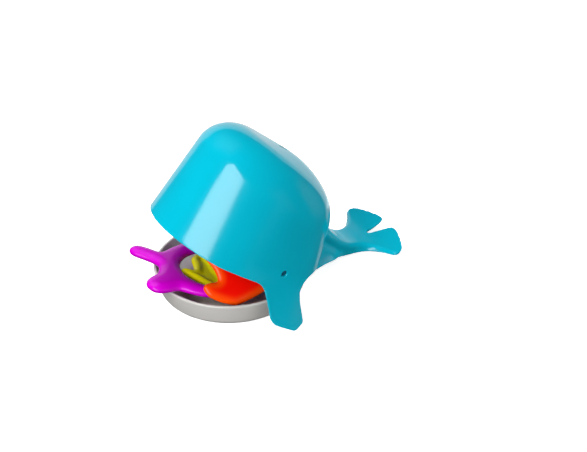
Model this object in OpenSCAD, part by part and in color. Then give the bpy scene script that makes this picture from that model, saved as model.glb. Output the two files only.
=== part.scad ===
// Whale scoop for the bath: a hinged head and tail over a round jaw tray, with three fish in the mouth.
// +X points to the tail, +Y to the whale's right, +Z up. The origin is the centre of the tray's underside.
// The head is drawn with its mouth shut and then turned open about the pins at its eyes.

/* [Jaw tray] */
// Radius of the tray at its rim
tray_r = 62; // [58:0.5:66]
// Height of the rim above the underside
tray_h = 21; // [19:0.5:24]
// How far the wall leans in from the rim to the foot
tray_lean = 4.4; // [2:0.2:7]
// Radius of the round edge between wall and foot
tray_corner = 7.5; // [5:0.5:10]
// Thickness of the tray's wall and floor
tray_wall = 2.6; // [2:0.1:3.2]

/* [Hinge] */
// Distance of the hinge axis behind the tray's centre
hinge_x = 17.5; // [14:0.5:21]
// Height of the hinge axis above the underside
hinge_z = 38.8; // [37:0.2:42]
// Angle by which the mouth stands open
open_angle = 36; // [30:1:38]
// Diameter of a hinge pin
pin_d = 4.2; // [3.6:0.2:5.4]
// Wall of a boss round its pin
boss_wall = 3.2; // [2.4:0.2:4]
// How much wider a pin's head is than the pin
pin_head_step = 3.6; // [2.8:0.2:4.4]
// Thickness of a pin's head
pin_head_t = 1.6; // [1.2:0.2:2.4]
// Radial play of a pin in its ear
pin_play = 0.06; // [0.03:0.01:0.1]
// Side play between ear, boss and pin head
side_play = 0.4; // [0.3:0.05:0.6]
// Radius of the round top of an ear
ear_r = 6.5; // [5.5:0.25:8]
// Thickness of an ear
ear_t = 3.2; // [2.4:0.2:4]
// How far an ear's outer face lies inside the tray's rim
ear_inset = 8.4; // [7.4:0.2:10]
// Depth of the eye dimple over a pin's end
eye_depth = 2.6; // [2:0.1:3]

/* [Head] */
// Gap between the head's lip and the tray's rim when the mouth is shut
lip_gap = 3; // [1.5:0.25:4]
// How far the head's side lies inside the tray's rim at the lip
side_inset = 1.5; // [0:0.25:2.5]
// Reach of the lip beyond the tray's rim in front
front_reach = 5; // [2:0.5:10]
// Reach of the head beyond the tray's rim behind
rear_reach = 9.5; // [5:0.5:12]
// Height of the forehead above the lip
head_h = 90.5; // [84:0.5:98]
// How much lower the back is than the forehead
back_drop = 7.2; // [2:0.2:12]
// Rise of the crown over the edge of the top
crown_h = 3; // [1:0.2:5]
// Inward lean of the wall for each millimetre of height
head_lean = 0.081; // [0.04:0.005:0.12]
// Radius of the shoulder between forehead and top
front_shoulder = 26.8; // [20:0.5:32]
// Radius of the shoulder between back and top
rear_shoulder = 38.9; // [30:0.5:44]
// Thickness of the head's wall
head_wall = 2.4; // [1.8:0.1:2.8]
// Length of the blowhole
blowhole_l = 9; // [6:0.5:12]
// Width of the blowhole
blowhole_w = 2.6; // [2:0.1:3.5]

/* [Flippers] */
// Outward sweep of the flippers, as a share of the squared drop
flipper_sweep = 0.0135; // [0.010:0.0005:0.018]
// Extra sweep at a flipper's rear corner, as a share of the sweep
flipper_flare = 0.5; // [0.2:0.05:0.6]
// Width of a flipper from its front edge to its rear edge
flipper_w = 30; // [26:0.5:33]
// Drop of a flipper's end below the lip
flipper_drop = 18; // [14:0.2:18.6]
// How far a flipper's end lies behind its root
flipper_back = 13; // [8:0.5:15]

/* [Tail] */
// Distance of the narrowest part of the tail behind the head
stem_reach = 33.5; // [29:0.5:38]
// Half width of the tail at its narrowest
stem_w = 14.7; // [12:0.1:17]
// Thickness of the tail at its narrowest
stem_t = 11.5; // [9:0.5:14]
// Wall left over the hollow in the tail's underside
tail_wall = 2.4; // [1.8:0.1:3]
// Span of the flukes from tip to tip
fluke_span = 83; // [74:1:92]
// Distance from the narrowest part to the end of the flukes
fluke_l = 34.5; // [30:0.5:38]
// Depth of the notch between the flukes
notch_d = 15.5; // [12:0.5:18]
// Thickness of the flukes at their rear edge
fluke_t = 3.6; // [3:0.2:5]

/* [Fish] */
// How far the ring fish's length falls short of the tray's width at each end
fish_room = 10; // [8:0.5:13]
// Thickness of the ring fish
ring_fish_t = 9; // [7:0.25:10]
// Thickness of the fork tailed fish
fork_fish_t = 6.4; // [5:0.2:7]
// Thickness of the fan tailed fish
fan_fish_t = 6.4; // [5:0.2:7]
// Share of the tray's height that the ring fish drops by from the rim to its nose
fish_sink = 0.9; // [0.75:0.01:0.93]
// Slope at which the fan tailed fish leans on the near side of the tray
lean_slope = 45; // [40:1:50]
// Clearance between a fish and what it lies on
fish_gap = 0.35; // [0.25:0.05:0.6]

/* [Hidden] */
$fn = 64;
far = 200;
blue = "#00b4d4";
white = "#d9dcda";
purple = "#b400b8";
yellow = "#c2bd00";
orange = "#ff3a08";
lip_z = tray_h + lip_gap;
ear_y = tray_r - ear_inset;
head_side = tray_r - side_inset;
head_front = tray_r + front_reach;
head_rear = tray_r + rear_reach;
stem_x = head_rear + stem_reach;

// Curves: a smooth step, a curve z(x) through points, and a closed or open spline through points
function ease(t) = let (s = min(max(t, 0), 1)) s * s * (3 - 2 * s);
function rise(p, i) = let (a = p[max(i - 1, 0)], b = p[min(i + 1, len(p) - 1)]) (b[1] - a[1]) / (b[0] - a[0]);
function span(p, x, i = 0) = (i >= len(p) - 2 || x < p[i + 1][0]) ? i : span(p, x, i + 1);
function along(p, x) =
    let (i = span(p, x), h = p[i + 1][0] - p[i][0], t = (x - p[i][0]) / h)
    p[i][1] * (1 + 2 * t) * pow(1 - t, 2) + h * rise(p, i) * t * pow(1 - t, 2)
    + p[i + 1][1] * t * t * (3 - 2 * t) + h * rise(p, i + 1) * t * t * (t - 1);
function blend4(a, b, c, d, t) =
    b + (c - a) * t / 2 + (a - 2.5 * b + 2 * c - d / 2) * t * t + ((d - a) / 2 + 1.5 * (b - c)) * t * t * t;
function spline(p, steps) = [
    for (i = [0 : len(p) - 2], k = [0 : steps - 1])
        blend4(p[max(i - 1, 0)], p[i], p[i + 1], p[min(i + 2, len(p) - 1)], k / steps),
    p[len(p) - 1]
];
function arc(cx, cz, r, from, to, steps) = [
    for (k = [0 : steps]) let (a = from + (to - from) * k / steps) [cx + r * cos(a), cz + r * sin(a)]
];

// A closed skin over rings of equal length, with a point below the first ring and one above the last
module skin(rings, low, high) {
    n = len(rings[0]);
    m = len(rings);
    points = [for (r = rings) each r, low, high];
    faces = [
        for (k = [0 : m - 2], i = [0 : n - 1])
            let (a = k * n + i, b = k * n + (i + 1) % n) each [[a, b + n, b], [a, a + n, b + n]],
        for (i = [0 : n - 1]) [i, (i + 1) % n, m * n],
        for (i = [0 : n - 1]) [(m - 1) * n + (i + 1) % n, (m - 1) * n + i, m * n + 1]
    ];
    polyhedron(points, faces, convexity = 8);
}

// Head: rounder towards its top, squarer at the flippers, longer behind than in front
head_segments = 72;
wall_rings = 9;
shoulder_rings = 7;
crown_rings = 4;
flipper_square = 3.2;
square_h = 62;
sweep_top = lip_z + 18;
sweep_front = 115;
sweep_rear = 80;
flare_turn = 35;
skirt_z = lip_z - flipper_drop - 3;
function rear_share(phi) = (1 + cos(phi)) / 2;
function shoulder(phi) = front_shoulder + (rear_shoulder - front_shoulder) * rear_share(phi);
function edge_z(phi) = lip_z + head_h - back_drop * rear_share(phi);
function side(z) = head_side - head_lean * (z - lip_z);
function sweep(phi, z) = flipper_sweep * pow(max(sweep_top - z, 0), 2)
    * ease((sweep_front - abs(phi)) / (sweep_front - sweep_rear))
    * (1 + flipper_flare * ease((sweep_rear - abs(phi)) / flare_turn));
function squareness(phi, z) = cos(phi) < 0 ? 2 : 2 + (flipper_square - 2) * ease((lip_z + square_h - z) / square_h);
function reach(phi) = (cos(phi) < 0 ? head_front : head_rear) / head_side;
function plan(phi, z) = let (n = squareness(phi, z))
    pow(pow(abs(cos(phi)) / reach(phi), n) + pow(abs(sin(phi)), n), -1 / n);
lean_turn = atan(head_lean);
function ring_place(phi, k, inset, from_z) =
    let (
        s = shoulder(phi) - inset,
        top = edge_z(phi) - inset,
        spring = top - s + s * sin(lean_turn),
        middle = side(spring) - inset - s * cos(lean_turn)
    )
    k <= wall_rings
        ? let (z = from_z + (spring - from_z) * k / wall_rings) [side(z) + sweep(phi, z) - inset, z]
    : k <= wall_rings + shoulder_rings
        ? let (q = lean_turn + (90 - lean_turn) * (k - wall_rings) / shoulder_rings) [middle + s * cos(q), top - s + s * sin(q)]
    : let (v = 1 - (k - wall_rings - shoulder_rings) / (crown_rings + 1), w = ease(v))
        [middle * v, top * w + (edge_z(90) - inset) * (1 - w) + crown_h * pow(1 - v * v, 2)];
function head_ring(k, inset, from_z) = [
    for (i = [0 : head_segments - 1])
        let (phi = 360 * i / head_segments - 180, place = ring_place(phi, k, inset, from_z), r = place[0] * plan(phi, place[1]))
        [r * cos(phi), r * sin(phi), place[1]]
];
module head_form(inset, from_z)
    skin(
        [for (k = [0 : wall_rings + shoulder_rings + crown_rings]) head_ring(k, inset, from_z)],
        [0, 0, from_z],
        [0, 0, edge_z(90) - inset + crown_h]
    );
function eye_y() = let (z = hinge_z, n = squareness(0, z), r = side(z) + sweep(60, z))
    r * pow(1 - pow(hinge_x / (r * reach(0)), n), 1 / n);

// Line under the head, seen from the side: lip, flipper, and the arch that lets the tray's rear swing in
root_x = hinge_x - 15.5;
rear_x = root_x + flipper_back + flipper_w;
arch_x = root_x + flipper_w + 6;
tip_z = lip_z - flipper_drop;
under_line = spline([
    [root_x - 14, lip_z + 1.5], [root_x - 3, lip_z + 1.8], [root_x + 3.5, lip_z - 1.5],
    [root_x + 0.76 * flipper_back, lip_z - 0.61 * flipper_drop],
    [root_x + flipper_back + 0.6, tip_z + 2.6], [root_x + flipper_back + 5, tip_z + 0.2],
    [root_x + flipper_back + 13, tip_z - 0.5], [rear_x - 6.5, tip_z + 0.7], [rear_x - 0.7, tip_z + 4.7],
    [rear_x + 1.3, tip_z + 6.6], [rear_x + 1, tip_z + 9], [rear_x - 1.8, tip_z + 14], [arch_x + 2.4, lip_z + 0.5],
    [arch_x + 0.9, lip_z + 8],
    [arch_x + 10, lip_z + 18], [arch_x + 28, lip_z + 25], [arch_x + 48, lip_z + 28]
], 5);
module under_cut()
    rotate([90, 0, 0])
        linear_extrude(2 * far, center = true)
            polygon(concat(
                [[-far, -far], [-far, lip_z], [-30, lip_z]],
                under_line,
                [[arch_x + 92, lip_z + 10], [arch_x + 92, -far]]
            ));

// Tail: a flat-topped stem whose skirts spread into the back of the head, curling up into two flukes
tail_rings = 26;
tail_end = stem_x + fluke_l + 4;
tail_from = head_rear - 19.5;
stem_z = lip_z + 44.7;
tip_x = stem_x + 0.68 * fluke_l;
tail_top = [
    [tail_from, lip_z + 53], [head_rear + 0.5, lip_z + 49.6], [head_rear + 8.5, lip_z + 46.6],
    [head_rear + 15.5, lip_z + 44.4], [stem_x - 10, lip_z + 43.2],
    [stem_x, stem_z], [stem_x + 10, stem_z + 5.6], [tip_x, stem_z + 15.3], [tail_end, stem_z + 31.2]
];
tail_under = [
    [tail_from, lip_z + 19], [head_rear - 13.5, lip_z + 21.6], [head_rear, lip_z + 25.8],
    [head_rear + 13.5, lip_z + 28.4], [stem_x - 10, lip_z + 30],
    [stem_x, stem_z - stem_t], [stem_x + 11, stem_z - 0.15 * stem_t], [tip_x, stem_z + 15.3 - fluke_t],
    [tail_end, stem_z + 31.2 - fluke_t]
];
fluke_half = [
    [stem_x, stem_w], [stem_x + 6.5, stem_w + 1.4], [stem_x + 13, 0.5 * fluke_span / 2],
    [stem_x + 18.5, 0.72 * fluke_span / 2], [tip_x, fluke_span / 2], [tip_x + 4, fluke_span / 2 + 2],
    [tail_end, fluke_span / 2 + 2]
];
tail_half = concat(
    [[tail_from, stem_w + 1.5], [head_rear + 0.5, stem_w + 0.8], [head_rear + 15.5, stem_w + 0.2], [stem_x - 10, stem_w - 0.1]],
    fluke_half
);
tail_skirt = concat(
    [[tail_from, head_side - 13.5], [head_rear - 13.5, head_side - 16.5], [head_rear, head_side - 25.5],
        [head_rear + 13.5, stem_w + 11.5], [stem_x - 10, stem_w + 3.8]],
    fluke_half
);
tail_round = 4;
function tail_ring(x, inset, drop) =
    let (
        top = along(tail_top, x) - inset,
        under = along(tail_under, x) - drop,
        half = along(tail_half, x) - inset,
        skirt = max(along(tail_skirt, x) - inset, half),
        r = min(tail_round, 0.45 * (top - under)),
        low = min(r, 1.5),
        flank = concat(
            [[skirt / 2, under], [skirt - low, under], [skirt, under + low]],
            [for (t = [0.25, 0.5, 0.75]) [half + (skirt - half) * pow(1 - t, 2), under + low + (top - r - under - low) * t]],
            [for (q = [0, 30, 60, 90]) [half - r + r * cos(q), top - r + r * sin(q)]],
            [[(half - r) / 2, top]]
        )
    )
    concat(
        [[x, 0, under]],
        [for (p = flank) [x, p[0], p[1]]],
        [[x, 0, top]],
        [for (i = [len(flank) - 1 : -1 : 0]) [x, -flank[i][0], flank[i][1]]]
    );
module tail_form(inset, drop, from_x, to_x)
    skin(
        [for (k = [0 : tail_rings]) tail_ring(from_x + (to_x - from_x) * k / tail_rings, inset, drop)],
        [from_x, 0, (along(tail_top, from_x) + along(tail_under, from_x)) / 2],
        [to_x, 0, along(tail_top, to_x) - inset - 0.4]
    );
fluke_edge = spline([
    [tip_x - 0.5, fluke_span / 2 + 6], [tip_x + 0.9, fluke_span / 2], [tip_x + 4, 0.9 * fluke_span / 2],
    [tip_x + 7.6, 0.66 * fluke_span / 2], [stem_x + fluke_l - 0.6, 0.38 * fluke_span / 2], [stem_x + fluke_l, 9.4],
    [stem_x + fluke_l - 1.6, 6], [stem_x + fluke_l - 0.6 * notch_d, 3],
    [stem_x + fluke_l - 0.93 * notch_d, 1.4], [stem_x + fluke_l - notch_d, 0]
], 4);
module fluke_cut()
    linear_extrude(far)
        polygon(concat(
            [[far, fluke_span]], fluke_edge, [for (i = [len(fluke_edge) - 2 : -1 : 0]) [fluke_edge[i][0], -fluke_edge[i][1]]],
            [[far, -fluke_span]]
        ));
module tail()
    difference() {
        tail_form(0, 0, tail_from, tail_end);
        fluke_cut();
    }

// Turns what is drawn with the mouth shut to where it stands with the mouth open
module open_mouth(angle = open_angle)
    translate([hinge_x, 0, hinge_z])
        rotate([0, angle, 0])
            translate([-hinge_x, 0, -hinge_z])
                children();
module hinge_rod(d, from, to)
    translate([hinge_x, from, hinge_z])
        rotate([-90, 0, 0])
            cylinder(d = d, h = to - from);
module both_sides() {
    children();
    mirror([0, 1, 0]) children();
}

boss_d = pin_d + 2 * boss_wall;
boss_y = ear_y + side_play;
tray_room = 0.4;
module whale_head()
    color(blue)
        open_mouth()
            difference() {
                union() {
                    difference() {
                        union() {
                            head_form(0, skirt_z);
                            tail();
                        }
                        head_form(head_wall, skirt_z - 8);
                        tail_form(tail_wall, 12, head_rear + 3, stem_x + 8);
                        under_cut();
                        open_mouth(-open_angle)
                            translate([0, 0, -far])
                                cylinder(r = tray_r + tray_room, h = far + tray_h + tray_room);
                        translate([0, 0, lip_z + head_h - 15]) blowhole();
                    }
                    both_sides() hinge_rod(boss_d, boss_y, eye_y() - 0.6 * head_wall);
                }
                both_sides() hinge_rod(pin_d, boss_y - 1, eye_y() + 8);
            }
module blowhole()
    linear_extrude(30) {
        square([blowhole_l - blowhole_w, blowhole_w], center = true);
        for (x = [-1, 1]) translate([x * (blowhole_l - blowhole_w) / 2, 0]) circle(d = blowhole_w);
    }

// Hinge pins: pressed into the head's bosses, free in the tray's ears
pin_head_d = pin_d + pin_head_step;
module hinge_pin() {
    hinge_rod(pin_d, ear_y - ear_t - side_play - pin_head_t / 2, eye_y() - eye_depth);
    hinge_rod(pin_head_d, ear_y - ear_t - side_play - pin_head_t, ear_y - ear_t - side_play);
}
module hinge_pin_right() color(blue) open_mouth() hinge_pin();
module hinge_pin_left() color(blue) open_mouth() mirror([0, 1, 0]) hinge_pin();

// Jaw tray: a turned dish, and two ears that carry the hinge pins
foot_r = tray_r - tray_lean;
lip_round = tray_wall / 2;
inner_corner = tray_corner - tray_wall;
tray_outside = concat(
    [[0, 0]],
    arc(foot_r - tray_corner, tray_corner, tray_corner, -90, 0, 8),
    arc(tray_r - lip_round, tray_h - lip_round, lip_round, 0, 90, 4)
);
tray_inside = concat(
    arc(tray_r - lip_round, tray_h - lip_round, lip_round, 90, 180, 4),
    [for (p = arc(foot_r - tray_corner, tray_corner, inner_corner, 0, -90, 6)) p],
    [[0, tray_wall]]
);
module dish() rotate_extrude($fn = 128) polygon(concat(tray_outside, tray_inside));
module dish_room() rotate_extrude($fn = 128) polygon(concat(tray_outside, [[tray_r - lip_round, tray_h], [tray_r - lip_round, far], [0, far]]));
ear_foot = ear_r + 3;
module ear()
    translate([0, ear_y, 0])
        rotate([90, 0, 0])
            linear_extrude(ear_t) {
                translate([hinge_x, hinge_z]) circle(r = ear_r);
                polygon([
                    [hinge_x - ear_foot, tray_wall / 2], [hinge_x + ear_foot, tray_wall / 2],
                    [hinge_x + ear_r, hinge_z], [hinge_x - ear_r, hinge_z]
                ]);
            }
module lower_jaw()
    color(white)
        difference() {
            union() {
                dish();
                intersection() {
                    both_sides() ear();
                    dish_room();
                }
            }
            both_sides() hinge_rod(pin_d + 2 * pin_play, ear_y - ear_t - 1, ear_y + 1);
        }

// Fish: flat outlines with round edges, drawn with the tail at -X
function loop(p, steps) = let (n = len(p)) [
    for (i = [0 : n - 1], k = [0 : steps - 1])
        blend4(p[(i + n - 1) % n], p[i], p[(i + 1) % n], p[(i + 2) % n], k / steps)
];
module pebble(t) {
    r = 0.47 * t;
    minkowski() {
        linear_extrude(t - 2 * r, center = true) offset(delta = -r) children();
        sphere(r = r, $fn = 10);
    }
}
drawn_l = 104;
drawn_nose = 89;
fish_size = 2 * (tray_r - fish_room) / drawn_l;
fish_slope = atan(fish_sink * tray_h / (drawn_nose * fish_size));
module ring_outline()
    scale(fish_size) difference() {
        polygon(loop([
            [89, 0], [79, 27], [50, 41], [31, 39], [18, 33], [11.5, 29.8], [5.2, 36], [-1.5, 42.2], [-8, 42.8], [-12.2, 38],
            [-10.3, 31.8], [-5, 26], [2.4, 16], [2.2, 8], [-2.5, -0.6], [-9.3, -4.2], [-14.5, -9.5], [-15.5, -15.5],
            [-12.5, -21.8], [-6, -24.6], [1, -24.2], [7.5, -23.6], [14.5, -30], [28, -37.5], [50, -41], [79, -27]
        ], 2));
        translate([49.5, -2]) scale([31.5, 30]) circle(r = 1, $fn = 30);
    }
module fork_outline()
    scale(fish_size) polygon(loop([
        [-3, -1.5], [-9.5, 4.5], [-15, 8.5], [-18.5, 14], [-17.5, 20.5], [-10.5, 23.5], [1, 19], [12, 14], [23, 9.5], [29, 2],
        [29, -4], [24, -9], [14, -10], [4, -10], [-5, -10.8], [-9.3, -9.8], [-10.4, -7], [-7.5, -4]
    ], 2));
module fan_outline()
    scale(fish_size) polygon(loop([
        [1.5, -0.5], [-4, 0.5], [-9, 1], [-11.5, -2], [-10, -8], [-6.4, -12.2], [-1.8, -16.4], [3.4, -20], [9, -22.3], [22, -21.5],
        [36, -19], [50, -14], [60, -6], [63, 2], [58, 10], [46, 15], [32, 16], [22, 17], [14, 22], [7.5, 26], [1.5, 25.5],
        [-1, 20], [0.6, 14], [2.4, 7]
    ], 2));

// The ring fish lies over the front rim, the fork tailed fish in its ring, and the fan tailed fish leans over both
rim_touch = 0.92 * (tray_r - lip_round);
slope_x = lip_round + 0.7 - tray_r;
slope_z = tray_h + (fish_gap + ring_fish_t / 2) / cos(fish_slope) - (slope_x + rim_touch) * tan(fish_slope);
fan_x = slope_x + 32 * fish_size;
fan_y = -35.1 * fish_size;
fan_z = slope_z - (fan_x - slope_x) * tan(fish_slope) + (ring_fish_t / 2 + fan_fish_t / 2 + fish_gap) / cos(lean_slope);
module on_slope(lift)
    translate([slope_x, 0, slope_z])
        rotate([0, fish_slope, 0])
            translate([0, 0, lift])
                children();
module ring_fish() color(purple) on_slope(0) pebble(ring_fish_t) ring_outline();
module fork_fish() color(yellow) on_slope(-1) translate(fish_size * [31.5, -1, 0]) rotate(-65) pebble(fork_fish_t) fork_outline();
module fan_fish()
    color(orange)
        translate([fan_x, fan_y, fan_z])
            rotate([lean_slope, 0, 0])
                rotate(4)
                    pebble(fan_fish_t) fan_outline();

lower_jaw();
whale_head();
hinge_pin_left();
hinge_pin_right();
ring_fish();
fork_fish();
fan_fish();
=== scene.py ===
# %% [markdown]
# # A whale scoop for the bath
# A whale's head, made as an upturned cup, swings over a round tray that is its lower jaw. Three loose
# fish lie in the mouth. The CAD model gives the frame: every piece below stands where its CAD node stands
# and moves with that node's body. Sizes are in millimetres, as on a drawing, and turn into metres where a
# mesh is made.

# %% Load the frame
import math

import bmesh
import bpy
import numpy as np
from mathutils import Matrix, Vector
from mathutils.kdtree import KDTree


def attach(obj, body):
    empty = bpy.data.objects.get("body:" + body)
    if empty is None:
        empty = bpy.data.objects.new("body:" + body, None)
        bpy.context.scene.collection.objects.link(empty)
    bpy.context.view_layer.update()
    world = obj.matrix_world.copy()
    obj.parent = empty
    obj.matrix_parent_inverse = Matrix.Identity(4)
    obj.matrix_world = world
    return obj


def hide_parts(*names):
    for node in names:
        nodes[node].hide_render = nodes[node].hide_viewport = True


MM = 0.001
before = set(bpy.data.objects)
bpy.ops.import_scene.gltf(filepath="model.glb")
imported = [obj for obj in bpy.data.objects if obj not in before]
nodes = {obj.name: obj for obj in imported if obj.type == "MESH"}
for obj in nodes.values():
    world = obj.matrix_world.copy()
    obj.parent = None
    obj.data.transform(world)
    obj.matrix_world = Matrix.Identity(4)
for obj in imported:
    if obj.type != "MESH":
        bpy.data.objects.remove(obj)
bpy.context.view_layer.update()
scene = bpy.context.scene

# %% [markdown]
# ## The camera
# The picture was taken from the whale's left front and from above, about 0.7 m away. The camera looks
# along one direction; its picture plane has a right and an up direction, and the aim is shifted a little
# within that plane so that the toy sits where it does in the picture.

# %% Camera
TURN = math.radians(27.67)
ELEVATION = math.radians(32.31)
DISTANCE = 700.7
AIM_RIGHT = 49.6
AIM_UP = 44.8
LENS = 52.9
SENSOR = 36.0

view_dir = Vector((
    math.sin(TURN) * math.cos(ELEVATION),
    math.cos(TURN) * math.cos(ELEVATION),
    -math.sin(ELEVATION),
))
right_dir = Vector((math.cos(TURN), -math.sin(TURN), 0.0))
up_dir = right_dir.cross(view_dir)
camera_place = (right_dir * AIM_RIGHT + up_dir * AIM_UP - view_dir * DISTANCE) * MM
camera = bpy.data.objects.new("camera", bpy.data.cameras.new("camera"))
camera.data.lens = LENS
camera.data.sensor_width = SENSOR
camera_turn = Matrix((right_dir, up_dir, -view_dir)).transposed().to_4x4()
camera.matrix_world = Matrix.Translation(camera_place) @ camera_turn
scene.collection.objects.link(camera)
scene.camera = camera
print("camera at", [round(c, 3) for c in camera_place])

# %% [markdown]
# ## Materials
# The toy is injection moulded: melted plastic is pressed into a steel mould and takes the mould's surface.
# A material is a tree of nodes, and one small function that adds a node with its settings and links keeps
# such a tree readable. Colours are written as on a screen, in sRGB, and turned into the linear values that
# light is reckoned in.

# %% Colours and nodes
def linear(hex_colour):
    """Linear RGBA of an sRGB colour written as six hex digits."""
    parts = [int(hex_colour[i:i + 2], 16) / 255 for i in (0, 2, 4)]
    return [p / 12.92 if p <= 0.04045 else ((p + 0.055) / 1.055) ** 2.4 for p in parts] + [1.0]


def plug(tree, node, sockets):
    """Links the inputs of a node to other nodes' outputs, or sets them to plain values."""
    for name, value in sockets.items():
        if isinstance(value, bpy.types.NodeSocket):
            tree.links.new(value, node.inputs[name])
        else:
            node.inputs[name].default_value = value


def add_node(tree, kind, sockets, **settings):
    """Adds a node with its settings and links."""
    node = tree.nodes.new(kind)
    for name, value in settings.items():
        setattr(node, name, value)
    plug(tree, node, sockets)
    return node


def new_material(name):
    """An empty material, and its tree."""
    material = bpy.data.materials.new(name)
    material.use_nodes = True
    material.node_tree.nodes.clear()
    return material, material.node_tree


print("a mid grey on screen is", round(linear("808080")[0], 3), "in linear light")

# %% [markdown]
# Every plastic here has the same build. Pigment never mixes quite evenly, so the colour drifts in faint
# clouds a few centimetres wide, and the gloss drifts with them, as it follows how the plastic cooled. Thin
# edges are painted paler: painted rim light, for the light that a thin, rounded rim catches and lets through.
# A fine grain from the mould roughens the surface: in truth it is some hundredths of a millimetre wide, too
# fine to show, so it is drawn more than half a millimetre wide.

# %% Moulded plastic
CLOUD_MM = 36.0
GLOSS_DRIFT = 0.2
GRAIN_STRENGTH = 0.2
# A mix node has sockets of one name for numbers, vectors and colours; these are the colours' places
MIX_A, MIX_B, MIX_RESULT = 6, 7, 2


def moulded(name, dark, light, edge, roughness, ior, grain_mm, grain_depth):
    """A moulded plastic: clouds from dark to light, thin edges painted paler as painted rim light, uneven
    gloss and a fine grain.
    """
    material, tree = new_material(name)
    place = add_node(tree, "ShaderNodeTexCoord", {}).outputs["Object"]
    cloud = add_node(tree, "ShaderNodeTexNoise", {
        "Vector": place, "Scale": 1 / (CLOUD_MM * MM), "Detail": 1.0,
    }).outputs["Fac"]
    grain = add_node(tree, "ShaderNodeTexNoise", {
        "Vector": place, "Scale": 1 / (grain_mm * MM), "Detail": 2.0,
    }).outputs["Fac"]
    # painted rim light: the fish's edge attribute is highest at the rim and mixes in the paler edge colour
    thin = add_node(tree, "ShaderNodeAttribute", {}, attribute_name="edge").outputs["Fac"]
    pigment = add_node(tree, "ShaderNodeMix", {
        "Factor": cloud, MIX_A: linear(dark), MIX_B: linear(light),
    }, data_type="RGBA").outputs[MIX_RESULT]
    colour = add_node(tree, "ShaderNodeMix", {
        "Factor": thin, MIX_A: pigment, MIX_B: linear(edge),
    }, data_type="RGBA").outputs[MIX_RESULT]
    gloss = add_node(tree, "ShaderNodeMapRange", {
        "Value": cloud, "To Min": (1 - GLOSS_DRIFT) * roughness, "To Max": (1 + GLOSS_DRIFT) * roughness,
    }).outputs["Result"]
    bump = add_node(tree, "ShaderNodeBump", {
        "Height": grain, "Strength": GRAIN_STRENGTH, "Distance": grain_depth * MM,
    }).outputs["Normal"]
    plastic = add_node(tree, "ShaderNodeBsdfPrincipled", {
        "Base Color": colour, "Roughness": gloss, "IOR": ior, "Normal": bump,
    })
    add_node(tree, "ShaderNodeOutputMaterial", {"Surface": plastic.outputs["BSDF"]})
    return material


print("clouds of pigment are about", CLOUD_MM, "mm wide")

# %% [markdown]
# The whale and its jaw are polypropylene, a stiff and slightly waxy plastic. The pins are acetal, which is
# hard and slippery, so pivots are often made of it. The fish are a softer, rubber-like plastic. Roughness
# and IOR start from what is usual, about 0.3 and 1.5, and are then matched to the shine in the picture.

# %% The six plastics
# From a polished mould: a deep, even blue under sharp mirror images of the lamps
blue = moulded(
    "blue_polypropylene", "00acc5", "00b4cd", "00b4cd",
    roughness=0.13, ior=1.4, grain_mm=0.8, grain_depth=0.003,
)
# From a satin mould, without a gloss of its own: its dark blue is painted shade, the shadow deep in the eye's
# hole
eye_shade_blue = moulded(
    "eye_shade_blue_acetal", "00506a", "005872", "005872",
    roughness=0.35, ior=1.48, grain_mm=0.8, grain_depth=0.01,
)
# From a satin mould: a warm, milky white whose highlights are broad and dim
white = moulded(
    "white_polypropylene", "cac8c4", "d2cfcb", "d2cfcb",
    roughness=0.3, ior=1.42, grain_mm=0.8, grain_depth=0.01,
)
# From a matt mould: strong pigment, a soft sheen, and a paler colour along thin edges that is painted rim
# light
SOFT = {"roughness": 0.25, "ior": 1.33, "grain_mm": 0.6, "grain_depth": 0.015}
purple = moulded("purple_soft_plastic", "be00ba", "c800c4", "d000cc", **SOFT)
yellow = moulded("yellow_soft_plastic", "e8e000", "f0e800", "f2ea00", **SOFT)
orange = moulded("orange_soft_plastic", "ff0a00", "ff0e00", "ff5200", **SOFT)
print("materials:", [m.name for m in (blue, eye_shade_blue, white, purple, yellow, orange)])

# %% [markdown]
# ## The head's outside
# Seen from above the head is round in front and squarer behind, where it meets the flippers; its wall leans
# in a little so that it leaves the mould. Every cut through the middle is a straight wall, a round shoulder
# that widens towards the back, and the flat arc of the crown, each touching the next without a corner. One
# rule gives the distance from the middle for every angle. Below the lip the wall sweeps outwards, which
# makes the flippers. It could be sculpted, but a rule keeps it as even as a real moulding.

# %% Head sizes and rules
TRAY_R, TRAY_H = 62.0, 21.0
HINGE_X, HINGE_Z = 17.5, 38.8
LIP_Z = TRAY_H + 3.0
HEAD_SIDE, HEAD_FRONT, HEAD_REAR = TRAY_R - 1.5, TRAY_R + 5.0, TRAY_R + 9.5
HEAD_H, BACK_DROP, CROWN_H = 90.5, 7.2, 3.0
HEAD_LEAN = 0.081
FRONT_SHOULDER, REAR_SHOULDER = 26.8, 38.9
HEAD_WALL = 2.4
FLIPPER_SQUARE, SQUARE_H = 3.2, 62.0
FLIPPER_SWEEP, FLIPPER_FLARE = 0.0135, 0.5
SWEEP_FROM, FLARE_FROM, SWEEP_RAMP = 115.0, 80.0, 35.0
SWEEP_TOP = LIP_Z + 18.0


def ease(t):
    """A smooth step from 0 to 1."""
    t = np.clip(t, 0.0, 1.0)
    return t * t * (3 - 2 * t)


def side(z):
    """Half width of the head at a height, without the flippers' sweep."""
    return HEAD_SIDE - HEAD_LEAN * (z - LIP_Z)


def sweep(phi, z):
    """How far the flippers sweep outwards at an angle and height."""
    turn = np.abs(np.degrees(phi))
    flare = 1 + FLIPPER_FLARE * ease((FLARE_FROM - turn) / SWEEP_RAMP)
    swell = ease((SWEEP_FROM - turn) / SWEEP_RAMP) * flare
    return FLIPPER_SWEEP * np.maximum(SWEEP_TOP - z, 0) ** 2 * swell


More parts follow.
